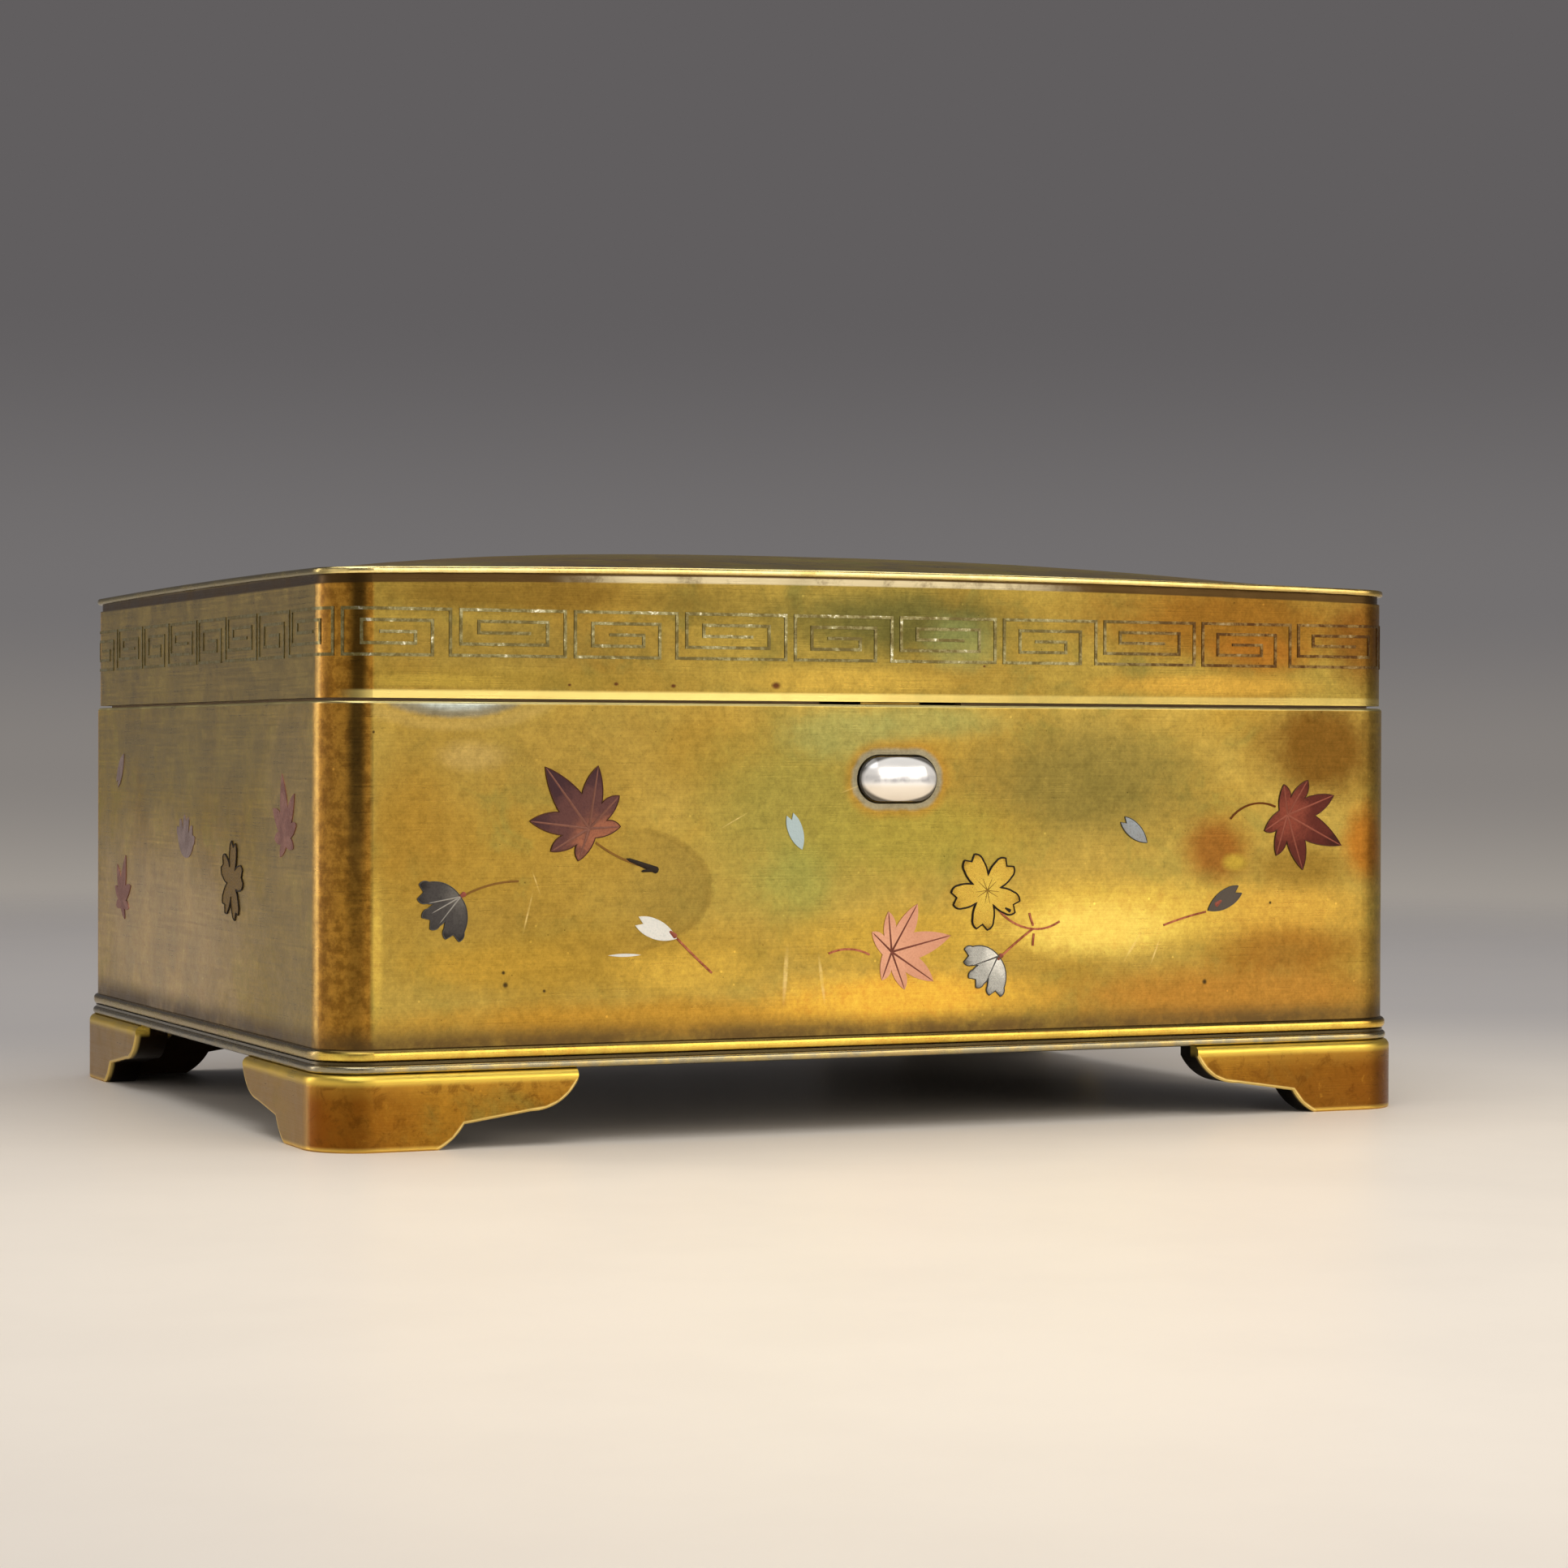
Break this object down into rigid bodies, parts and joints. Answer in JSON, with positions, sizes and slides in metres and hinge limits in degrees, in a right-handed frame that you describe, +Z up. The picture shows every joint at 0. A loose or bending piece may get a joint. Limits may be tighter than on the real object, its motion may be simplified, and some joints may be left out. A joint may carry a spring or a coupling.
{
  "type": "hinged ink box",
  "caption": "Hinged brass writing box with a domed lid, bracket feet, push-button catch, inlaid leaves and key fret, with an ink stone and trays inside.",
  "frame": {"origin": "on the table under the middle of the box", "axes": "+X along the front edge to the right, the front with the button faces -Y, +Z up"},
  "size_m": [0.1828, 0.1442, 0.0892],
  "materials": {
    "brass": "aged, brushed",
    "lining_wood": "oiled",
    "dark_wood": "lacquered",
    "silver": "polished silver",
    "grey_silver": "dark silver alloy",
    "fret_wire": "tarnished silver wire",
    "spring_steel": "plain",
    "spring_bronze": "rolled",
    "slate": "honed",
    "copper_dark": "patinated copper",
    "bamboo": "varnished",
    "brush_hair": "hair",
    "ink": "pressed soot ink",
    "plum_copper": "patinated copper",
    "salmon_copper": "bright copper",
    "russet_copper": "patinated copper",
    "gold": "gilt"
  },
  "bodies": {
    "case": {"case_walls": "brass", "base_plate": "brass", "foot_front_left": "brass", "foot_front_right": "brass", "foot_back_left": "brass", "foot_back_right": "brass", "foot_screws": "brass", "liner_floor": "lining_wood", "liner_front": "lining_wood", "liner_back": "lining_wood", "liner_left": "lining_wood", "liner_right": "lining_wood", "button_guide": "brass", "catch_block": "brass", "catch_leaf": "spring_bronze", "catch_rivets": "brass", "hinge_case_half": "brass", "hinge_pin": "brass", "centre_board": "dark_wood", "inkstone": "slate", "water_dropper": "copper_dark", "tray_left": "dark_wood", "tray_right": "dark_wood", "brush_shafts": "bamboo", "brush_tips": "brush_hair", "ink_stick": "ink", "maple_plum": "plum_copper", "maple_salmon": "salmon_copper", "maple_russet": "russet_copper", "blossom_gold": "gold", "blossom_silver": "silver", "blossom_grey": "grey_silver", "petals_silver": "silver", "petals_grey": "grey_silver", "left_leaves": "salmon_copper", "left_blossom": "gold", "left_petals": "grey_silver", "right_leaves": "salmon_copper", "right_blossom": "gold", "right_petals": "grey_silver", "back_leaves": "salmon_copper", "back_blossom": "gold", "stems_copper": "plum_copper"},
    "lid": {"lid_shell": "brass", "lid_rim": "brass", "lid_keeper": "brass", "lid_liner_front": "lining_wood", "lid_liner_back": "lining_wood", "lid_liner_left": "lining_wood", "lid_liner_right": "lining_wood", "lid_liner_top": "lining_wood", "hinge_lid_half": "brass", "fret_front": "fret_wire", "fret_back": "fret_wire", "fret_left": "fret_wire", "fret_right": "fret_wire"},
    "button": {"push_button": "silver", "button_stem": "brass", "stem_clip": "spring_steel"}
  },
  "joints": [
    {"name": "lid_hinge", "type": "hinge", "parent": "case", "child": "lid", "pos_m": [0, 0.07085, 0.0647], "axis": [-1, 0, 0], "range_deg": [0, 100], "deforming": ["catch_leaf"]},
    {"name": "button_press", "type": "slide", "parent": "case", "child": "button", "axis": [0, 1, 0], "range_m": [0, 0.0015], "stiffness_N_per_m": 800, "deforming": ["catch_leaf"]}
  ]
}
